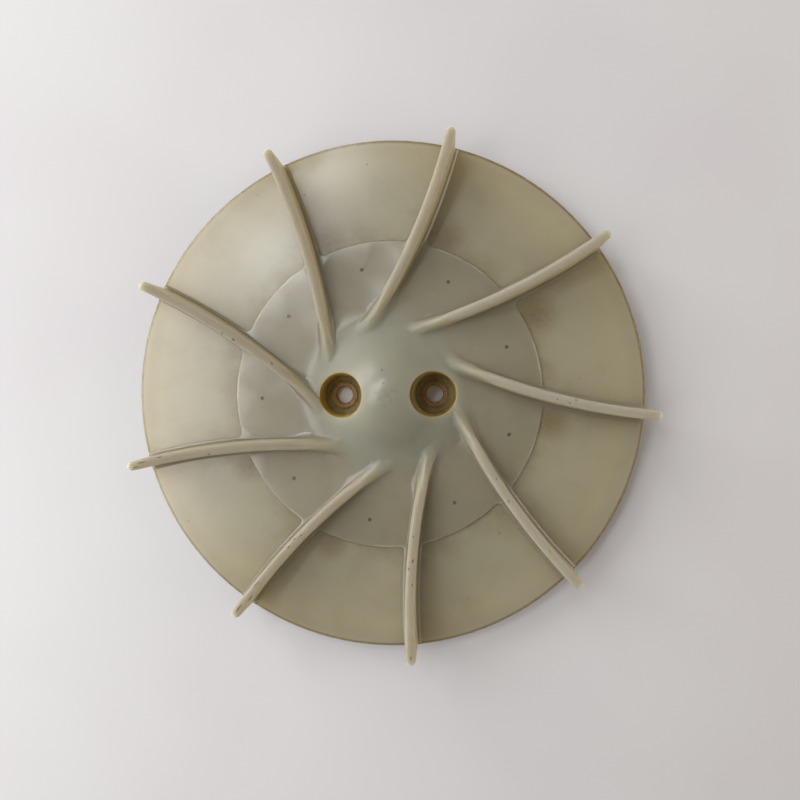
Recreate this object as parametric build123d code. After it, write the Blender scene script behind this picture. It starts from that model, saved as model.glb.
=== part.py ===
from build123d import *
import math
import os

# Moulded nylon blower impeller: a backplate with curved blades, a bell-shaped hub and two bolt sleeves.
# Millimetres. Z runs along the wheel's axis towards the bladed side, and Z = 0 is the mounting face.
# The two bolt holes lie on the X axis.

# Backplate
rim_radius = 100.0
rim_edge_chamfer = 0.4
ring_underside = 8.0
ring_wall = 3.0

# Raised inner disc, with a narrow root strip that runs out from it under each blade
plateau_radius = 60.5
plateau_step = 1.0
step_edge_chamfer = 0.35
root_strip_width = 7.0
strip_corner_radius = 1.8

# Hub dome: a crown arc that turns into a wider foot arc, tangent to the inner disc
dome_rise = 14.0
dome_foot_radius = 36.0
dome_crown_radius = 25.0
dome_wall = 3.6

# Skirt under the hub, which sits on the mounting face
skirt_outer_radius = 32.0
skirt_wall = 3.2
skirt_edge_chamfer = 0.5

# Blades: arcs in plan, swept round from the tip to the inner end, with a top edge that climbs from the hub
blade_count = 9
first_tip_angle = 75.0
blade_arc_radius = 224.0
blade_sweep = 46.3
blade_tip_inset = 0.4
blade_foot_thickness = 4.2
blade_draft = 1.2
blade_tip_height = 19.5
blade_hub_height = 3.0
blade_hub_radius = 30.0
blade_inner_radius = 24.0
blade_top_edge_chamfer = 0.45
blade_tip_corner_chamfer = 1.0
blade_root_slope = 0.9

# Pin gate marks on the inner disc, one between each pair of blades
gate_circle_radius = 50.0
first_gate_angle = 101.0
gate_mark_diameter = 1.5
gate_mark_depth = 0.5

# Bolt sockets in the dome's flank
bolt_spacing = 36.8
socket_floor_radius = 7.8
socket_draft = 4.0
socket_floor_height = 2.6
boss_wall = 2.6

# Steel sleeves in the socket floors
sleeve_bore = 6.8
sleeve_tube_wall = 1.1
sleeve_collar_diameter = 10.6
sleeve_collar_height = 1.0
sleeve_bore_chamfer = 0.5
sleeve_fit_clearance = 0.03

# How far joined solids reach into each other, and how far cutting solids stand past what they cut
overlap = 0.05
reach = 6.0

# Levels and radii worked out from the sizes above
ring_top = ring_underside + ring_wall
ring_middle = ring_underside + ring_wall / 2
plateau_top = ring_top + plateau_step
dome_apex = plateau_top + dome_rise
dome_foot_arc = (dome_foot_radius**2 + dome_rise**2) / (2 * dome_rise) - dome_crown_radius
skirt_inner_radius = skirt_outer_radius - skirt_wall
blade_tip_radius = rim_radius - blade_tip_inset
blade_peak = plateau_top + blade_tip_height
blade_pitch = 360.0 / blade_count
sleeve_tube_radius = sleeve_bore / 2 + sleeve_tube_wall
through_height = 2 * (max(dome_apex, blade_peak) + reach)

# Alignment of a primitive that stands on its base
standing = (Align.CENTER, Align.CENTER, Align.MIN)


def dome_lines(inset):
    """Crown and foot arcs of the dome, moved into its wall by inset, from the axis to the foot radius."""
    crown_centre_z = dome_apex - dome_crown_radius
    foot_centre_z = plateau_top + dome_foot_arc
    steepest = math.asin(dome_foot_radius / (dome_crown_radius + dome_foot_arc))
    crown = CenterArc((0, crown_centre_z), dome_crown_radius - inset, 90, -math.degrees(steepest))
    foot = CenterArc(
        (dome_foot_radius, foot_centre_z),
        dome_foot_arc + inset,
        270 - math.degrees(steepest),
        math.degrees(steepest),
    )
    return crown, foot


def turned(outline):
    """Solid of revolution about Z from a closed outline drawn as radius against height."""
    return revolve(Plane.XZ * make_face(outline), Axis.Z)


def round_edges(solid, radius):
    """A solid's circular edges of one radius."""
    circles = solid.edges().filter_by(GeomType.CIRCLE)
    return circles.filter_by(lambda edge: math.isclose(edge.radius, radius))


def axis_distance(shape):
    """Distance of a shape's centre from the wheel's axis."""
    middle = shape.center()
    return math.hypot(middle.X, middle.Y)


def backplate():
    """Ring, inner disc, dome and skirt as one turned solid, before the hub is hollowed."""
    crown, foot = dome_lines(0)
    plateau_end = plateau_radius - strip_corner_radius
    top = Polyline(
        foot @ 1,
        (plateau_end, plateau_top),
        (plateau_end, ring_top),
        (rim_radius, ring_top),
        (rim_radius, ring_underside),
        (skirt_outer_radius, ring_underside),
        (skirt_outer_radius, 0),
        (0, 0),
        (0, dome_apex),
    )
    plate = turned([crown, foot, top])
    skirt_edge = round_edges(plate, skirt_outer_radius).sort_by(Axis.Z)[0]
    plate = chamfer(skirt_edge, skirt_edge_chamfer)
    return chamfer(round_edges(plate, rim_radius), rim_edge_chamfer)


def hub_hollow():
    """Space under the dome: its crown, moved in by the wall, and a cone down to the skirt."""
    crown, foot = dome_lines(dome_wall)
    flank = math.sqrt(foot.radius**2 - (dome_foot_radius - skirt_inner_radius) ** 2)
    shoulder = plateau_top + dome_foot_arc - flank
    under = Polyline(
        crown @ 1,
        (skirt_inner_radius, shoulder),
        (skirt_inner_radius, -reach),
        (0, -reach),
        crown @ 0,
    )
    return turned([crown, under])


def blade_centre():
    """Centre of the blade's plan arc, for a blade whose tip lies on the X axis."""
    tip = Vector(blade_tip_radius, 0)
    inner_end = Vector(blade_inner_radius, 0).rotate(Axis.Z, blade_sweep)
    chord = tip - inner_end
    inward = Vector(-chord.Y, chord.X).normalized()
    return (tip + inner_end) / 2 + inward * math.sqrt(blade_arc_radius**2 - chord.length**2 / 4)


def arc_angle(radius):
    """Angle about the plan arc's centre at which the blade crosses a distance from the axis."""
    centre = blade_centre()
    span = centre.length
    cosine = (span**2 + blade_arc_radius**2 - radius**2) / (2 * span * blade_arc_radius)
    return math.degrees(math.atan2(-centre.Y, -centre.X) + math.acos(cosine))


def blade_section(radius):
    """Upright plane across the blade at a distance from the axis, with its Y axis up."""
    angle = math.radians(arc_angle(radius))
    heading = Vector(math.cos(angle), math.sin(angle))
    return Plane(
        origin=blade_centre() + heading * blade_arc_radius,
        x_dir=heading,
        z_dir=Vector(heading.Y, -heading.X),
    )


def swept_along_blade(outline, inner_radius, outer_radius):
    """Solid with a section (side offset against height) carried along the blade's plan arc."""
    sweep = arc_angle(outer_radius) - arc_angle(inner_radius)
    return revolve(blade_section(inner_radius) * make_face(outline), Axis(blade_centre(), (0, 0, 1)), sweep)


def blade_half(level):
    """Half the blade's thickness at a height."""
    return blade_foot_thickness / 2 - (level - plateau_top) * math.tan(math.radians(blade_draft))


def blade_wall():
    """One blade: a drafted wall with its tip corners cut off, under its climbing roof."""
    high = blade_peak + reach
    right = [(blade_half(ring_middle), ring_middle), (blade_half(high), high)]
    left = [(-across, level) for across, level in reversed(right)]
    wall = swept_along_blade(Polyline(*right, *left, close=True), blade_inner_radius, blade_tip_radius)
    tip_face = wall.faces().sort_by(axis_distance)[-1]
    tip_corners = tip_face.edges().sort_by(Axis.Z)[1:-1]
    return chamfer(tip_corners, blade_tip_corner_chamfer) & blade_roof()


def blade_roof():
    """Roof over one blade, with sloped edges, on an arc in the plane that climbs from the hub to the tip."""
    hub = blade_section(blade_hub_radius).origin + Vector(0, 0, plateau_top + blade_hub_height)
    tip = blade_section(blade_tip_radius).origin + Vector(0, 0, blade_peak)
    chord = tip - hub
    inward = Vector(-chord.Y, chord.X).normalized()
    upward = chord.cross(inward).normalized()
    sagitta = blade_arc_radius - math.sqrt(blade_arc_radius**2 - (chord.X**2 + chord.Y**2) / 4)
    radius = (chord.length**2 / 4 + sagitta**2) / (2 * sagitta)
    centre = (hub + tip) / 2 + inward * (radius - sagitta)
    overrun = 2 * reach / radius
    sweep = 2 * math.asin(chord.length / 2 / radius) + 2 * overrun
    outward = (tip - centre).normalized()
    section = Plane(origin=tip, x_dir=outward, z_dir=outward.cross(upward))
    flat = blade_half(blade_peak) - blade_top_edge_chamfer
    right = [(flat, 0), (flat + reach, -reach), (flat + reach, -blade_peak)]
    left = [(-across, level) for across, level in reversed(right)]
    outline = Polyline(*right, *left, close=True)
    roof = revolve(section * make_face(outline), Axis(centre, -upward), math.degrees(sweep))
    return roof.rotate(Axis(centre, upward), math.degrees(overrun))


def blade_root():
    """Sloped root along both sides of one blade's foot."""
    side = blade_foot_thickness / 2 - overlap
    level = plateau_top - overlap
    toe = side + blade_root_slope
    right = [(toe, ring_middle), (toe, level), (side, level + blade_root_slope)]
    left = [(-across, height) for across, height in reversed(right)]
    outline = Polyline(*right, *left, close=True)
    return swept_along_blade(outline, blade_inner_radius, blade_tip_radius - blade_tip_corner_chamfer)


def root_strips():
    """Rim of the raised inner disc and the root strips, as one plate with rounded inner corners."""
    half = root_strip_width / 2
    low = ring_top - overlap
    strip = swept_along_blade(
        Polyline((-half, low), (half, low), (half, plateau_top), (-half, plateau_top), close=True),
        plateau_radius - 2 * root_strip_width,
        blade_tip_radius + reach,
    )
    strip = strip & Cylinder(blade_tip_radius, through_height)
    disc = Pos(0, 0, low) * extrude(
        Circle(plateau_radius) - Circle(plateau_radius - 2 * strip_corner_radius), plateau_top - low
    )
    plan = disc.fuse(*around(strip)).clean().faces().sort_by(Axis.Z)[-1]
    corners = plan.vertices().filter_by(lambda corner: abs(axis_distance(corner) - plateau_radius) < overlap)
    plate = extrude(plan.fillet_2d(strip_corner_radius, corners), low - plateau_top)
    rims = plate.faces().filter_by(Axis.Z).sort_by(Axis.Z)[-1].outer_wire().edges()
    return chamfer(rims, step_edge_chamfer)


def around(solid):
    """Copies of a solid modelled with its tip on the X axis, one for each blade."""
    return [Rot(0, 0, first_tip_angle + index * blade_pitch) * solid for index in range(blade_count)]


def bolt_places():
    """The left and right bolt axes."""
    return [Pos(-bolt_spacing / 2, 0, 0), Pos(bolt_spacing / 2, 0, 0)]


def draft_cone(low_radius, low, high):
    """Upright cone that widens upwards at the sockets' draft."""
    high_radius = low_radius + (high - low) * math.tan(math.radians(socket_draft))
    return Pos(0, 0, low) * Cone(low_radius, high_radius, high - low, align=standing)


def bolt_bosses():
    """Tapered bosses that carry the sockets down to the mounting face."""
    crown, foot = dome_lines(dome_wall / 2)
    under = Polyline(foot @ 1, (dome_foot_radius, 0), (0, 0), crown @ 0)
    below_dome = turned([crown, foot, under])
    boss_radius = socket_floor_radius + boss_wall - socket_floor_height * math.tan(math.radians(socket_draft))
    return [(place * draft_cone(boss_radius, 0, dome_apex)) & below_dome for place in bolt_places()]


def socket_cuts():
    """Tapered sockets and the holes for the sleeves."""
    socket = draft_cone(socket_floor_radius, socket_floor_height, dome_apex + reach)
    hole = Cylinder(sleeve_tube_radius + sleeve_fit_clearance, through_height)
    return [place * (socket + hole) for place in bolt_places()]


def gate_marks():
    """Shallow eight-sided pits left by the broken-off moulding gates."""
    outline = RegularPolygon(gate_mark_diameter / 2, side_count=8)
    pit = Pos(gate_circle_radius, 0, plateau_top - gate_mark_depth) * extrude(outline, reach)
    return [Rot(0, 0, first_gate_angle + index * blade_pitch) * pit for index in range(blade_count)]


def impeller_wheel():
    """The moulded wheel."""
    plate = backplate().fuse(root_strips())
    blades = around(blade_wall()) + around(blade_root())
    bladed = plate.fuse(*blades).cut(hub_hollow())
    return bladed.fuse(*bolt_bosses()).cut(*socket_cuts(), *gate_marks()).clean()


def bolt_sleeve():
    """Collared steel sleeve that takes the bolt's clamping load through the socket floor."""
    tube = Cylinder(sleeve_tube_radius, socket_floor_height, align=standing)
    collar = Pos(0, 0, socket_floor_height) * Cylinder(
        sleeve_collar_diameter / 2, sleeve_collar_height, align=standing
    )
    sleeve = tube + collar - Cylinder(sleeve_bore / 2, through_height)
    mouth = round_edges(sleeve, sleeve_bore / 2).sort_by(Axis.Z)[-1]
    return chamfer(mouth, sleeve_bore_chamfer)


os.makedirs("parts", exist_ok=True)
export_step(impeller_wheel(), "parts/impeller_wheel.step")
for side, place in zip(("left", "right"), bolt_places()):
    export_step(place * bolt_sleeve(), f"parts/{side}_bolt_sleeve.step")
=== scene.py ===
import logging
import math
from dataclasses import dataclass
from enum import Enum
from typing import Any, Optional, Union

import bpy
from mathutils import Matrix, Vector


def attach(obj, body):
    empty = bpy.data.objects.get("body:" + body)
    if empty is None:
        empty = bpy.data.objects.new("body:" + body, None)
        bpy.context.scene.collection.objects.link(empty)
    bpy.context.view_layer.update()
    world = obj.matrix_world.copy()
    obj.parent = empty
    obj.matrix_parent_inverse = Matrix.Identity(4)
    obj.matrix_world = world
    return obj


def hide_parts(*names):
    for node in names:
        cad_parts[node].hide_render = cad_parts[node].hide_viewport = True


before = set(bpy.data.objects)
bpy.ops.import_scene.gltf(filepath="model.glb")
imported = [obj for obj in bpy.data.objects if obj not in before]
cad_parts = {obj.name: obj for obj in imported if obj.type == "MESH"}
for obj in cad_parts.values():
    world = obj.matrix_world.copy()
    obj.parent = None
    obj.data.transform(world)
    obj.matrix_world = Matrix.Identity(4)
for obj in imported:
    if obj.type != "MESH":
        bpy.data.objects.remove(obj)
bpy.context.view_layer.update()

log = logging.getLogger("impeller")

MM = 0.001
Colour = tuple[float, float, float]


class MathStep(Enum):
    """Operations of the Math node that the finishes use."""

    ADD = "ADD"
    SUBTRACT = "SUBTRACT"
    MULTIPLY = "MULTIPLY"
    DIVIDE = "DIVIDE"
    LEAST = "MINIMUM"
    MOST = "MAXIMUM"
    ABSOLUTE = "ABSOLUTE"
    ROOT = "SQRT"
    COSINE = "COSINE"
    ARC_COSINE = "ARCCOSINE"
    ANGLE = "ARCTAN2"
    WRAP = "WRAP"
    ROUND = "ROUND"
    MODULO = "FLOORED_MODULO"


class Blend(Enum):
    """Ways of laying one colour over another."""

    COVER = "MIX"
    TINT = "MULTIPLY"


class Side(Enum):
    """The two bolt positions, with the sign of their X."""

    LEFT = -1
    RIGHT = 1


class Value:
    """A shader value; using it in an expression adds the Math nodes."""

    def __init__(self, sheet: "FinishSheet", socket: bpy.types.NodeSocket) -> None:
        """Keep the node tree and the output socket."""
        self.sheet = sheet
        self.socket = socket

    def __add__(self, other: "Number") -> "Value":
        """Sum."""
        return self.sheet.math(MathStep.ADD, self, other)

    def __radd__(self, other: "Number") -> "Value":
        """Sum with a plain number first."""
        return self.sheet.math(MathStep.ADD, other, self)

    def __sub__(self, other: "Number") -> "Value":
        """Difference."""
        return self.sheet.math(MathStep.SUBTRACT, self, other)

    def __rsub__(self, other: "Number") -> "Value":
        """Difference with a plain number first."""
        return self.sheet.math(MathStep.SUBTRACT, other, self)

    def __mul__(self, other: "Number") -> "Value":
        """Product."""
        return self.sheet.math(MathStep.MULTIPLY, self, other)

    def __rmul__(self, other: "Number") -> "Value":
        """Product with a plain number first."""
        return self.sheet.math(MathStep.MULTIPLY, other, self)

    def __truediv__(self, other: "Number") -> "Value":
        """Quotient."""
        return self.sheet.math(MathStep.DIVIDE, self, other)

    def __rtruediv__(self, other: "Number") -> "Value":
        """Quotient with a plain number first."""
        return self.sheet.math(MathStep.DIVIDE, other, self)

    def __abs__(self) -> "Value":
        """Size without sign."""
        return self.sheet.math(MathStep.ABSOLUTE, self)

    def root(self) -> "Value":
        """Square root."""
        return self.sheet.math(MathStep.ROOT, self)

    def at_least(self, other: "Number") -> "Value":
        """The larger of two values."""
        return self.sheet.math(MathStep.MOST, self, other)

    def at_most(self, other: "Number") -> "Value":
        """The smaller of two values."""
        return self.sheet.math(MathStep.LEAST, self, other)

    def rise(self, low: float, high: float) -> "Value":
        """Smooth step from 0 at low to 1 at high; it falls where low is the larger.

        Args:
            low: Value at which the step starts.
            high: Value at which the step ends.

        Returns:
            The step, from 0 to 1.
        """
        first, last = min(low, high), max(low, high)
        step = self.sheet.node(
            "ShaderNodeMapRange",
            {"interpolation_type": "SMOOTHSTEP"},
            {"Value": self, "From Min": first, "From Max": last},
        )
        climb = Value(self.sheet, step.outputs["Result"])
        return climb if low < high else 1.0 - climb


Number = Union[Value, float]
Paint = Union[Value, Colour]


class FinishSheet:
    """Node tree of one material."""

    def __init__(self, name: str) -> None:
        """Start a material with an empty node tree."""
        self.material = bpy.data.materials.new(name)
        self.material.use_nodes = True
        self.tree = self.material.node_tree
        self.tree.nodes.clear()

    def node(
        self,
        kind: str,
        settings: Optional[dict[str, Any]] = None,
        inputs: Optional[dict[Union[str, int], Any]] = None,
    ) -> bpy.types.Node:
        """Add a node.

        Args:
            kind: Blender's node type.
            settings: Properties of the node, set before its sockets.
            inputs: Values or links of its sockets, by name or number.

        Returns:
            The node.
        """
        made = self.tree.nodes.new(kind)
        for name, setting in (settings or {}).items():
            setattr(made, name, setting)
        for key, given in (inputs or {}).items():
            target = made.inputs[key]
            if isinstance(given, Value):
                self.tree.links.new(given.socket, target)
            elif target.type == "RGBA" and len(given) == 3:
                target.default_value = (*given, 1.0)
            else:
                target.default_value = given
        return made

    def math(self, step: MathStep, *terms: Number) -> Value:
        """Add a Math node.

        Args:
            step: The operation.
            terms: Its values, in order.

        Returns:
            The result.
        """
        made = self.node("ShaderNodeMath", {"operation": step.value}, dict(enumerate(terms)))
        return Value(self, made.outputs["Value"])

    def mix(self, under: Paint, over: Paint, amount: Number, blend: Blend = Blend.COVER) -> Value:
        """Lay a colour over another.

        Args:
            under: The colour below.
            over: The colour laid on it.
            amount: How much of it shows, from 0 to 1.
            blend: How it is laid.

        Returns:
            The mixed colour.
        """
        settings = {"data_type": "RGBA", "blend_type": blend.value, "clamp_factor": True}
        made = self.node("ShaderNodeMix", settings, {"Factor": amount, 6: under, 7: over})
        return Value(self, made.outputs[2])

    def point(self, x: Number, y: Number, z: Number) -> Value:
        """Make a vector from three values."""
        made = self.node("ShaderNodeCombineXYZ", None, {"X": x, "Y": y, "Z": z})
        return Value(self, made.outputs["Vector"])

    def parts(self, vector: Value) -> tuple[Value, Value, Value]:
        """Split a vector into its three values."""
        made = self.node("ShaderNodeSeparateXYZ", None, {"Vector": vector})
        return tuple(Value(self, made.outputs[axis]) for axis in ("X", "Y", "Z"))

    def noise(self, place: Value, scale: float, detail: float = 3.0, roughness: float = 0.55) -> Value:
        """Add a noise texture.

        Args:
            place: Where to read it.
            scale: Grains for each unit of place.
            detail: Number of finer layers.
            roughness: Strength of the finer layers.

        Returns:
            The noise, around 0.5.
        """
        values = {"Vector": place, "Scale": scale, "Detail": detail, "Roughness": roughness}
        return Value(self, self.node("ShaderNodeTexNoise", None, values).outputs["Fac"])

    def cells(self, place: Value, scale: float) -> tuple[Value, Value]:
        """Add a cell texture.

        Args:
            place: Where to read it.
            scale: Cells for each unit of place.

        Returns:
            The distance to the nearest cell's middle, and a number of that cell from 0 to 1.
        """
        made = self.node("ShaderNodeTexVoronoi", None, {"Vector": place, "Scale": scale})
        shade = self.node("ShaderNodeSeparateColor", None, {"Color": Value(self, made.outputs["Color"])})
        return Value(self, made.outputs["Distance"]), Value(self, shade.outputs["Red"])

    def place(self) -> Value:
        """Object coordinates in millimetres."""
        where = self.node("ShaderNodeTexCoord").outputs["Object"]
        scale = (1 / MM, 1 / MM, 1 / MM)
        made = self.node("ShaderNodeMapping", None, {"Vector": Value(self, where), "Scale": scale})
        return Value(self, made.outputs["Vector"])

    def facing(self) -> tuple[Value, Value, Value]:
        """Direction that the surface faces, as X, Y and Z."""
        return self.parts(Value(self, self.node("ShaderNodeNewGeometry").outputs["Normal"]))

    def bump(self, height: Value, depth: float) -> Value:
        """Turn a height into a bumped normal.

        Args:
            height: Height from 0 to 1.
            depth: Height of 1 in metres.

        Returns:
            The normal.
        """
        made = self.node("ShaderNodeBump", None, {"Height": height, "Distance": depth, "Strength": 1.0})
        return Value(self, made.outputs["Normal"])

    def finish(self, inputs: dict[str, Any]) -> bpy.types.Material:
        """Close the tree with a Principled shader.

        Args:
            inputs: Values or links of the shader's sockets.

        Returns:
            The material.
        """
        shader = self.node("ShaderNodeBsdfPrincipled", None, inputs)
        self.node("ShaderNodeOutputMaterial", None, {"Surface": Value(self, shader.outputs["BSDF"])})
        return self.material


@dataclass(frozen=True)
class BladePlan:
    """Plan of the blades in millimetres and degrees, as the solid has it."""

    arc_radius: float = 224.0
    centre_distance: float = 246.559
    centre_angle: float = 65.28
    first_tip_angle: float = 75.0
    count: int = 9

    @property
    def pitch(self) -> float:
        """Angle between blades in degrees."""
        return 360.0 / self.count

    def side(self, x: float, y: float) -> float:
        """Distance of a point from the middle line of the nearest blade.

        Args:
            x: The point's X.
            y: The point's Y.

        Returns:
            The distance, positive on the clockwise side.
        """
        radius = max(math.hypot(x, y), self.centre_distance - self.arc_radius + 0.2)
        reach = radius**2 + self.centre_distance**2 - self.arc_radius**2
        lag = math.acos(reach / (2 * self.centre_distance * radius))
        pitch = math.radians(self.pitch)
        ahead = math.atan2(y, x) - math.radians(self.first_tip_angle + self.centre_angle) + lag
        turn = (ahead + pitch / 2) % pitch - pitch / 2
        span = radius**2 + self.centre_distance**2 - 2 * self.centre_distance * radius * math.cos(lag - turn)
        return math.sqrt(span) - self.arc_radius


@dataclass(frozen=True)
class StainAndShadowPatch:
    """A brown patch beside a blade, partly stain and partly painted shadow.

    The sizes are in millimetres: its middle, how far it spreads and how strong it is, from 0 to 1.
    """

    x: float
    y: float
    spread: float
    strength: float


@dataclass(frozen=True)
class Mark:
    """A dark nick or streak on a blade's top.

    The sizes are in millimetres: the blade's number from 0, clockwise from the top, the mark's radius, its
    offset from the blade's middle line, half its length and half its width.
    """

    blade: int
    radius: float
    across: float
    length: float
    width: float


class WheelMap:
    """Where a point of the wheel lies: its radius, its distance from a blade and from the step's outline."""

    def __init__(self, sheet: FinishSheet, plan: BladePlan) -> None:
        """Work out the values from Object coordinates.

        Args:
            sheet: Node tree that takes the nodes.
            plan: Plan of the blades.
        """
        self.sheet = sheet
        self.place = sheet.place()
        self.x, self.y, self.z = sheet.parts(self.place)
        self.radius = (self.x * self.x + self.y * self.y).root()
        self.angle = sheet.math(MathStep.ANGLE, self.y, self.x)
        reach = plan.centre_distance**2 - plan.arc_radius**2
        safe = self.radius.at_least(plan.centre_distance - plan.arc_radius + 0.2)
        lag = sheet.math(MathStep.ARC_COSINE, (safe * safe + reach) / (safe * (2 * plan.centre_distance)))
        start = math.radians(plan.first_tip_angle + plan.centre_angle)
        turn = self.angle - start + lag
        half = math.radians(plan.pitch / 2)
        self.turn = sheet.math(MathStep.WRAP, turn, half, -half)
        number = sheet.math(MathStep.ROUND, (turn - self.turn) / (2 * half))
        self.number = sheet.math(MathStep.MODULO, number, float(plan.count))
        ahead = sheet.math(MathStep.COSINE, lag - self.turn)
        span = safe * safe + plan.centre_distance**2 - safe * ahead * (2 * plan.centre_distance)
        self.side = span.root() - plan.arc_radius

    def outline(self, disc_radius: float, strip_half: float, corner: float) -> Value:
        """Distance outside the outline of the inner disc and its root strips.

        Args:
            disc_radius: Radius of the inner disc.
            strip_half: Half the width of a strip.
            corner: Radius of the inner corners.

        Returns:
            The distance, negative inside.
        """
        beyond = self.radius - disc_radius
        beside = abs(self.side) - strip_half
        near = (corner - beyond).at_least(0.0)
        next_to = (corner - beside).at_least(0.0)
        return beyond.at_most(beside).at_least(corner) - (near * near + next_to * next_to).root()

    def from_point(self, x: float, y: float) -> Value:
        """Distance in plan from a point.

        Args:
            x: The point's X.
            y: The point's Y.

        Returns:
            The distance.
        """
        across = self.x - x
        along = self.y - y
        return (across * across + along * along).root()

    def on_mark(self, mark: Mark, count: int) -> Value:
        """Tell how far a point lies inside a mark on a blade.

        Args:
            mark: The mark.
            count: Number of blades.

        Returns:
            1 on the mark and 0 off it, with a soft edge.
        """
        chosen = abs(self.number - float(-mark.blade % count)).rise(0.5, 0.4)
        along = (self.radius - mark.radius) / mark.length
        across = (self.side - mark.across) / mark.width
        return (along * along + across * across).root().rise(1.1, 0.5) * chosen


@dataclass(frozen=True)
class NylonFinish:
    """Natural nylon, yellowed, glossy and a little see-through, with stains and dirt, painted shade on the
    inner disc, the blade tops, the rim, beside the blades and in the sockets, and a painted highlight along
    the step's edge.
    """

    plan: BladePlan = BladePlan()
    ring: Colour = (0.41, 0.37, 0.255)
    disc: Colour = (0.31, 0.28, 0.19)
    dome: Colour = (0.345, 0.335, 0.26)
    blade: Colour = (0.42, 0.38, 0.265)
    blade_top_painted_shade: Colour = (0.325, 0.30, 0.248)
    stain_and_shadow: Colour = (0.245, 0.185, 0.08)
    dirt_and_shade: Colour = (0.085, 0.055, 0.03)
    step_painted_highlight: Colour = (0.58, 0.55, 0.46)
    socket: Colour = (0.50, 0.36, 0.11)
    socket_rust: Colour = (0.26, 0.09, 0.02)
    rim_painted_shade: Colour = (0.80, 0.83, 0.96)
    blotch_tint: Colour = (0.80, 0.77, 0.68)
    light_reach: float = 0.014
    wave_depth: float = 0.00025
    disc_radius: float = 60.5
    strip_half: float = 3.5
    corner: float = 1.8
    disc_level: float = 12.0
    dome_radius: float = 36.0
    gate_radius: float = 50.0
    first_gate_angle: float = 101.0
    bolt_offset: float = 18.4
    socket_floor_radius: float = 7.8
    socket_floor: float = 2.6
    socket_slope: float = 0.07
    rim: float = 100.0
    marks: tuple[Mark, ...] = (
        Mark(5, 96.2, 0.3, 2.4, 0.30),
        Mark(5, 91.0, -0.9, 1.6, 0.25),
        Mark(5, 68.5, 0.6, 0.5, 0.35),
        Mark(5, 65.0, 1.0, 0.5, 0.30),
        Mark(5, 62.5, 0.2, 0.4, 0.30),
        Mark(4, 97.0, 0.0, 0.7, 0.35),
        Mark(4, 66.2, 0.9, 0.6, 0.40),
        Mark(4, 63.6, -0.4, 0.8, 0.45),
        Mark(4, 72.0, -0.8, 0.5, 0.35),
        Mark(4, 55.0, 0.3, 0.4, 0.30),
        Mark(6, 94.5, 0.4, 1.8, 0.25),
        Mark(6, 97.0, -0.7, 1.2, 0.25),
        Mark(6, 88.0, 0.9, 1.0, 0.30),
        Mark(6, 71.0, -1.2, 0.5, 0.40),
        Mark(7, 62.0, -1.0, 0.8, 0.50),
        Mark(7, 66.5, -1.3, 0.5, 0.35),
        Mark(7, 46.0, 0.2, 0.6, 0.35),
        Mark(2, 70.5, -1.0, 0.5, 0.35),
        Mark(2, 64.0, 0.3, 0.4, 0.30),
        Mark(3, 61.0, 0.4, 0.5, 0.35),
        Mark(3, 52.5, -0.5, 0.4, 0.30),
        Mark(8, 82.0, -1.9, 0.6, 0.45),
    )
    stain_and_shadow_patches: tuple[StainAndShadowPatch, ...] = (
        StainAndShadowPatch(-22.3, 59.5, 12.0, 0.95),
        StainAndShadowPatch(22.0, 60.5, 13.0, 1.0),
        StainAndShadowPatch(57.0, 31.0, 14.0, 1.0),
        StainAndShadowPatch(63.0, -11.5, 12.0, 0.9),
        StainAndShadowPatch(44.5, -46.5, 8.0, 0.6),
        StainAndShadowPatch(15.8, -61.0, 7.0, 0.5),
        StainAndShadowPatch(-24.0, -57.0, 12.0, 0.9),
        StainAndShadowPatch(-55.8, -26.5, 11.0, 0.9),
        StainAndShadowPatch(-61.0, 17.0, 8.0, 0.5),
    )

    def make(self) -> bpy.types.Material:
        """Build the material."""
        sheet = FinishSheet("natural_nylon")
        here = WheelMap(sheet, self.plan)
        _, _, upward = sheet.facing()
        outside = here.outline(self.disc_radius, self.strip_half, self.corner)
        blotches = sheet.noise(here.place, 0.06, 4.0, 0.6)
        grain = sheet.noise(here.place, 0.55, 4.0, 0.6)

        # The inner disc is darker than the ring: partly the disc's own tone, partly painted shade standing
        # in for light that shines through the thin ring but not through the disc over the hollow hub.
        colour = sheet.mix(self.disc, self.ring, outside.rise(-0.2, 0.2))
        on_dome = here.radius.rise(self.dome_radius + 2.0, self.dome_radius - 14.0)
        crest = here.radius.rise(20.0, 2.0)
        colour = sheet.mix(colour, self.dome, on_dome)
        on_blade = abs(here.side).rise(3.0, 2.4) * here.z.rise(self.disc_level + 0.3, self.disc_level + 1.4)
        on_blade = on_blade * here.radius.rise(28.0, 42.0)
        # Painted shade: the nylon near the rim is tinted darker and bluer, holding back the light that glows
        # in through the rim's edge.
        rim_shade_band = here.radius.rise(self.rim - 9.0, self.rim)
        colour = sheet.mix(colour, self.rim_painted_shade, rim_shade_band * 0.8, Blend.TINT)
        colour = sheet.mix(colour, self.blade, on_blade)
        # Painted shade: the upward-facing blade tops take a darker colour than the blade flanks.
        colour = sheet.mix(colour, self.blade_top_painted_shade, on_blade * upward.rise(0.5, 0.8))
        colour = sheet.mix(colour, self.blotch_tint, blotches.rise(0.42, 0.75) * 0.35, Blend.TINT)

        # Painted highlight: a paler patchy line along the step's upper edge, standing in for the edge
        # catching the light.
        step_edge = abs(outside + 0.3).rise(0.7, 0.1) * here.radius.rise(66.0, 62.0)
        step_painted_highlight = step_edge * blotches.rise(0.50, 0.62)
        colour = sheet.mix(colour, self.step_painted_highlight, step_painted_highlight * (1.0 - on_blade) * 0.45)

        colour = sheet.mix(colour, self.stain_and_shadow, self.stain_and_shadow_mask(here, outside, blotches, grain))
        colour = sheet.mix(colour, self.dirt_and_shade, self.dirt_and_shade_mask(sheet, here, outside, grain, upward, on_blade))
        colour = self.dress_sockets(sheet, here, colour, grain)

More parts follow.
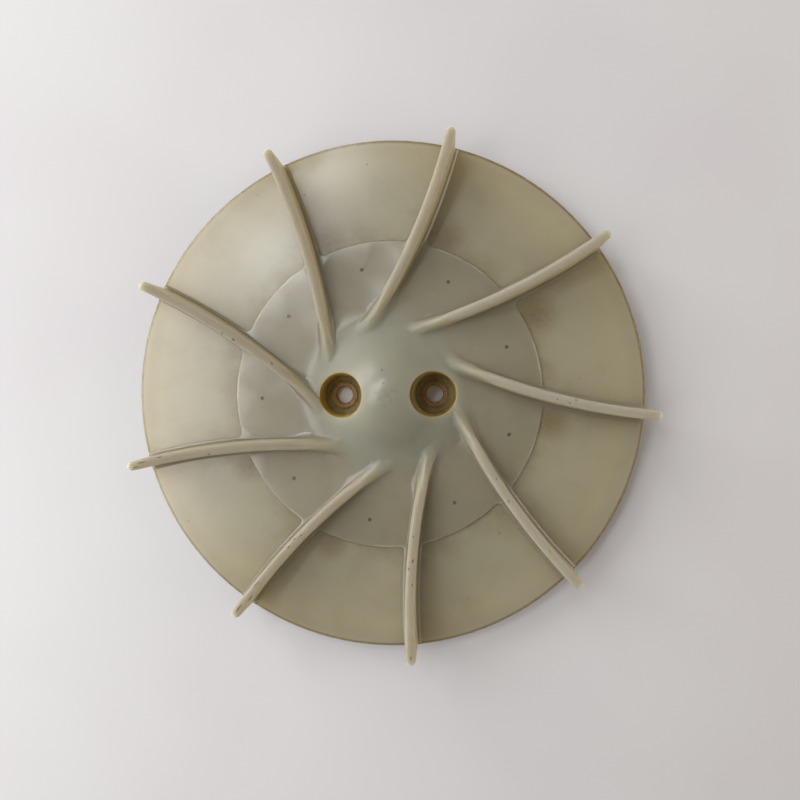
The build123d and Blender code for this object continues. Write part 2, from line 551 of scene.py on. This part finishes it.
        gloss = 0.26 + grain * 0.12 + blotches * 0.08 + on_blade * 0.22 + on_dome * 0.2 - crest * 0.28
        height = sheet.noise(here.place, 0.05, 2.0, 0.4) + sheet.noise(here.place, 1.4, 2.0, 0.5) * 0.02
        return sheet.finish(
            {
                "Base Color": colour,
                "Roughness": gloss,
                "Normal": sheet.bump(height, self.wave_depth),
                "IOR": 1.53,
                "Coat Weight": 1.0 - (on_dome * 0.95 - crest * 0.6).at_least(on_blade * 0.85),
                "Coat Roughness": 0.22,
                "Subsurface Weight": 1.0,
                "Subsurface Radius": (1.0, 0.85, 0.50),
                "Subsurface Scale": self.light_reach,
            }
        )

    def stain_and_shadow_mask(self, here: WheelMap, outside: Value, blotches: Value, grain: Value) -> Value:
        """Brown stains outside the step, and a brown tint beside the blades and in the listed patches that
        is partly stain and partly painted shadow.
            outside: Distance outside the step's outline.
            blotches: Large noise.
            grain: Fine noise.

        Returns:
            How strong the tint is.
        """
        low = here.z.rise(self.disc_level + 4.0, self.disc_level - 0.2)
        rim_of_step = outside.rise(11.0, 0.0) * outside.rise(-0.4, 0.2) * here.radius.rise(84.0, 62.0)
        total = rim_of_step * blotches.rise(0.30, 0.62) * 0.42
        # Beside the blades on both sides: stain and painted shadow, a brown tint near each blade's foot.
        beside = abs(here.side).rise(11.0, 2.3) * (0.08 + blotches * 0.2)
        total = total.at_least(beside * here.radius.rise(34.0, 46.0))
        # The listed patches lie on the shadow sides of the blades: stain and painted shadow.
        for patch in self.stain_and_shadow_patches:
            spread = here.from_point(patch.x, patch.y).rise(patch.spread, 0.0) * patch.strength
            total = total.at_least(spread * outside.rise(-0.5, 0.4) * (0.45 + grain * 0.9))
        return total * low

    def dirt_and_shade_mask(
        self,
        sheet: FinishSheet,
        here: WheelMap,
        outside: Value,
        grain: Value,
        upward: Value,
        on_blade: Value,
    ) -> Value:
        """Dark marks: dirt on the rim that also serves as painted shade over its lit rounded edge, a dark
        line at the step's foot, the gate marks, specks, scuffs and nicks.

        Args:
            sheet: Node tree.
            here: Where the point lies.
            outside: Distance outside the step's outline.
            grain: Fine noise.
            upward: How far the surface faces up.
            on_blade: Where the blades are.

        How dark the marks are.
        """
        level = here.z.rise(self.disc_level + 1.0, self.disc_level + 0.2)
        on_circle = here.radius.rise(self.disc_radius + 5.0, self.disc_radius + 1.5)
        foot = abs(outside - 0.12).rise(0.45, 0.0) * grain.rise(0.40, 0.70) * level * on_circle * 0.5
        # Dirt along the rim, made wide enough to be painted shade over the rim's lit rounded edge too.
        rim = here.radius.rise(self.rim - 1.5, self.rim - 0.6) * (0.5 + grain * 0.7) * level
        total = foot.at_least(rim)
        for index in range(self.plan.count):
            angle = math.radians(self.first_gate_angle + index * self.plan.pitch)
            gate = here.from_point(self.gate_radius * math.cos(angle), self.gate_radius * math.sin(angle))
            total = total.at_least(gate.rise(0.95, 0.5) * 0.65)
        on_top = upward.rise(0.2, 0.6)
        spot, chance = sheet.cells(here.place, 0.16)
        specks = spot.rise(0.085, 0.045) * chance.rise(0.80, 0.81) * 0.55
        along = sheet.point(here.radius * 0.16, here.side * 0.9, here.number * 7.0)
        scuff = sheet.noise(along, 1.0, 4.0, 0.65).rise(0.62, 0.72) * on_blade * on_top
        scuff = scuff * here.radius.rise(45.0, 95.0) * 0.7
        total = total.at_least(specks).at_least(scuff)
        for mark in self.marks:
            total = total.at_least(here.on_mark(mark, self.plan.count) * on_blade * on_top * 0.8)
        return total

    def dress_sockets(self, sheet: FinishSheet, here: WheelMap, colour: Value, grain: Value) -> Value:
        """Brown the two bolt sockets, with painted shade darkening their walls towards the mouth and rust
        round the holes.

        Args:
            sheet: Node tree.
            here: Where the point lies.
            colour: Colour of the nylon so far.
            grain: Fine noise.

        Returns:
            The colour with the sockets.
        """
        for side in Side:
            away = here.from_point(side.value * self.bolt_offset, 0.0)
            wall = away - self.socket_floor_radius - (here.z - self.socket_floor) * self.socket_slope
            inside = wall.rise(0.25, 0.05) * here.z.rise(1.5, 2.4)
            colour = sheet.mix(colour, self.socket, inside)
            # Painted shade: each socket's wall darkens towards its mouth.
            colour = sheet.mix(colour, self.dirt_and_shade, inside * here.z.rise(13.0, 20.0) * 0.6)
            ring = away.rise(7.6, 5.2) * inside * grain.rise(0.35, 0.6)
            colour = sheet.mix(colour, self.socket_rust, ring * 0.6)
        return colour


@dataclass(frozen=True)
class RustySteelFinish:
    """Dull steel under brown rust, with a little bare metal showing in patches."""

    steel: Colour = (0.40, 0.33, 0.22)
    rust: Colour = (0.34, 0.21, 0.075)
    dark: Colour = (0.07, 0.04, 0.018)

    def make(self) -> bpy.types.Material:
        """Build the material."""
        sheet = FinishSheet("rusty_steel")
        place = sheet.place()
        patches = sheet.noise(place, 0.35, 4.0, 0.65)
        grain = sheet.noise(place, 1.6, 3.0, 0.6)
        cover = patches.rise(0.36, 0.52) * 0.35 + 0.65
        colour = sheet.mix(self.steel, self.rust, cover)
        colour = sheet.mix(colour, self.dark, grain.rise(0.52, 0.68) * 0.7)
        return sheet.finish(
            {
                "Base Color": colour,
                "Metallic": 1.0 - cover,
                "Roughness": 0.38 + cover * 0.35,
                "Normal": sheet.bump(grain, 0.00012),
            }
        )


@dataclass(frozen=True)
class TableFinish:
    """Pale plain table top."""

    top: Colour = (0.78, 0.765, 0.775)
    cloud: Colour = (0.96, 0.95, 0.955)

    def make(self) -> bpy.types.Material:
        """Build the material."""
        sheet = FinishSheet("pale_table")
        drift = sheet.noise(sheet.place(), 0.008, 2.0, 0.5)
        colour = sheet.mix(self.top, self.cloud, drift.rise(0.35, 0.7), Blend.TINT)
        return sheet.finish({"Base Color": colour, "Roughness": 0.55})


def select_only(piece: bpy.types.Object) -> None:
    """Select one object and make it active."""
    bpy.ops.object.select_all(action="DESELECT")
    piece.select_set(True)
    bpy.context.view_layer.objects.active = piece


def merged_copy(node: str, name: str, distance: float) -> bpy.types.Object:
    """Copy a node's mesh into a new piece and join its loose triangles.

    Args:
        node: Name of the node.
        name: Name of the piece.
        distance: Points nearer than this become one, in metres.

    Returns:
        The piece.
    """
    piece = bpy.data.objects.new(name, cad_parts[node].data.copy())
    bpy.context.scene.collection.objects.link(piece)
    select_only(piece)
    bpy.ops.object.mode_set(mode="EDIT")
    bpy.ops.mesh.select_all(action="SELECT")
    bpy.ops.mesh.remove_doubles(threshold=distance)
    bpy.ops.object.mode_set(mode="OBJECT")
    bpy.ops.mesh.customdata_custom_splitnormals_clear()
    return piece


def soften(piece: bpy.types.Object, angle: float) -> None:
    """Shade a piece so that its narrow chamfers look rounded and its large faces stay flat.

    Args:
        piece: The piece.
        angle: Edges sharper than this stay sharp, in degrees.
    """
    select_only(piece)
    bpy.ops.object.shade_smooth_by_angle(angle=math.radians(angle))
    bpy.ops.object.modifier_add(type="WEIGHTED_NORMAL")
    weighting = piece.modifiers[-1]
    weighting.keep_sharp = True
    weighting.weight = 50
    bpy.ops.object.modifier_apply(modifier=weighting.name)


def dress(piece: bpy.types.Object, material: bpy.types.Material) -> None:
    """Give a piece one material."""
    piece.data.materials.clear()
    piece.data.materials.append(material)


@dataclass
class Wheel:
    """The moulded wheel, with its blade roots blended into the dome and smooth shading."""

    node: str = "impeller_wheel"
    slot: str = "nylon"
    finish: NylonFinish = NylonFinish()
    merge_distance: float = 0.001 * MM
    root_start: float = 26.0
    root_end: float = 39.0
    root_half: float = 3.4
    socket_zone: float = 11.0
    root_level: float = 11.5
    blend_strength: float = 0.5
    blend_rounds: int = 4
    smooth_angle: float = 56.0

    def build(self) -> bpy.types.Object:
        """Build and dress the wheel.

        Returns:
            The piece.
        """
        piece = merged_copy(self.node, "moulded_wheel", self.merge_distance)
        self.blend_roots(piece)
        soften(piece, self.smooth_angle)
        dress(piece, self.finish.make())
        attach(piece, "root")
        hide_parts(self.node)
        return piece

    def blend_roots(self, piece: bpy.types.Object) -> None:
        """Smooth the inner ends of the blades and their roots into the dome.

        Args:
            piece: The wheel.
        """
        select_only(piece)
        bpy.ops.object.mode_set(mode="EDIT")
        bpy.ops.mesh.select_mode(type="VERT")
        bpy.ops.mesh.select_all(action="DESELECT")
        bpy.ops.object.mode_set(mode="OBJECT")
        for vertex in piece.data.vertices:
            vertex.select = self.is_root_end(vertex.co / MM)
        bpy.ops.object.mode_set(mode="EDIT")
        bpy.ops.mesh.vertices_smooth(factor=self.blend_strength, repeat=self.blend_rounds)
        bpy.ops.object.mode_set(mode="OBJECT")

    def is_root_end(self, point: Vector) -> bool:
        """Tell whether a point, in millimetres, lies where a blade's root runs into the dome."""
        radius = point.xy.length
        if not self.root_start < radius < self.root_end or point.z < self.root_level:
            return False
        sockets = (Vector((side.value * self.finish.bolt_offset, 0.0)) for side in Side)
        if any((point.xy - socket).length < self.socket_zone for socket in sockets):
            return False
        return abs(self.finish.plan.side(point.x, point.y)) < self.root_half


@dataclass
class BoltSleeve:
    """One steel sleeve in a socket floor, with a rounded collar."""

    side: Side
    finish: RustySteelFinish = RustySteelFinish()
    slot: str = "steel"
    merge_distance: float = 0.001 * MM
    smooth_angle: float = 50.0

    def build(self) -> bpy.types.Object:
        """Build and dress the sleeve.

        Returns:
            The piece.
        """
        side = self.side.name.lower()
        piece = merged_copy(f"{side}_bolt_sleeve", f"{side}_sleeve", self.merge_distance)
        soften(piece, self.smooth_angle)
        dress(piece, self.finish.make())
        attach(piece, "root")
        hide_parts(f"{side}_bolt_sleeve")
        return piece


@dataclass(frozen=True)
class Lamp:
    """A soft rectangular lamp, aimed at the wheel."""

    name: str
    place: tuple[float, float, float]
    width: float
    length: float
    power: float
    tint: Colour = (1.0, 1.0, 1.0)

    def add(self) -> None:
        """Add the lamp."""
        bpy.ops.object.light_add(type="AREA", location=self.place)
        lamp = bpy.context.object
        lamp.name = self.name
        lamp.rotation_euler = (-Vector(self.place)).to_track_quat("-Z", "Y").to_euler()
        lamp.data.shape = "RECTANGLE"
        lamp.data.size = self.width
        lamp.data.size_y = self.length
        lamp.data.energy = self.power
        lamp.data.color = self.tint


@dataclass
class Studio:
    """Table, lamps and camera."""

    table_half: float = 3.0
    table: TableFinish = TableFinish()
    ambient: float = 0.24
    room: Colour = (1.0, 0.93, 0.84)
    lens: float = 29.25
    sensor: float = 36.0
    nearest: float = 0.01
    camera_place: tuple[float, float, float] = (18.65 * MM, 1.91 * MM, 267.5 * MM)
    camera_aim: tuple[float, float, float] = (-0.0543, -0.0161, -0.9984)
    camera_up: tuple[float, float, float] = (0.0120, 0.9998, -0.0168)
    lamps: tuple[Lamp, ...] = (
        Lamp("window", (-0.84, 0.72, 0.58), 0.90, 0.80, 8.5, (0.985, 0.985, 1.0)),
        Lamp("side", (-0.42, -0.18, 0.22), 0.5, 0.4, 0.8, (0.97, 0.98, 1.0)),
        Lamp("wall", (-0.42, 0.03, 0.76), 0.58, 0.22, 1.5, (0.97, 0.98, 1.0)),
        Lamp("ceiling", (-0.25, 0.228, 0.80), 0.07, 0.06, 0.36, (0.94, 0.97, 1.0)),
        Lamp("skylight", (-0.154, 0.368, 0.80), 0.10, 0.03, 0.35, (0.94, 0.97, 1.0)),
        Lamp("fill", (0.75, 0.05, 0.28), 0.6, 0.4, 1.5, (1.0, 0.93, 0.82)),
    )

    def build(self) -> bpy.types.Object:
        """Build the table, lamps and camera.

        Returns:
            The table.
        """
        table = self.lay_table()
        for lamp in self.lamps:
            lamp.add()
        self.fill()
        self.set_camera()
        bpy.context.scene.view_settings.view_transform = "Standard"
        return table

    def lay_table(self) -> bpy.types.Object:
        """Lay the table top under the wheel.

        Returns:
            The table.
        """
        bpy.ops.object.select_all(action="DESELECT")
        bpy.ops.mesh.primitive_plane_add(size=2 * self.table_half, location=(0.0, 0.0, 0.0))
        table = bpy.context.object
        table.name = "table_top"
        bpy.ops.object.mode_set(mode="EDIT")
        bpy.ops.mesh.subdivide(number_cuts=7)
        bpy.ops.object.mode_set(mode="OBJECT")
        dress(table, self.table.make())
        return table

    def fill(self) -> None:
        """Light the room evenly."""
        world = bpy.data.worlds.new("room")
        world.use_nodes = True
        back = world.node_tree.nodes["Background"]
        back.inputs["Color"].default_value = (*self.room, 1.0)
        back.inputs["Strength"].default_value = self.ambient
        bpy.context.scene.world = world

    def set_camera(self) -> None:
        """Place the camera at the photograph's viewing angle."""
        back = -Vector(self.camera_aim).normalized()
        right = Vector(self.camera_up).cross(back).normalized()
        up = back.cross(right)
        turn = Matrix((right, up, back)).transposed().to_euler()
        bpy.ops.object.camera_add(location=self.camera_place, rotation=turn)
        camera = bpy.context.object
        camera.data.sensor_width = self.sensor
        camera.data.lens = self.lens
        camera.data.clip_start = self.nearest
        bpy.context.scene.camera = camera


def main() -> None:
    """Build the impeller and its studio in order."""
    logging.basicConfig(level=logging.INFO, format="%(name)s: %(message)s")
    bpy.ops.object.select_all(action="DESELECT")
    builders = [Wheel(), BoltSleeve(Side.LEFT), BoltSleeve(Side.RIGHT), Studio()]
    for builder in builders:
        piece = builder.build()
        log.info("%s: %d faces", piece.name, len(piece.data.polygons))


if __name__ == "__main__":
    main()
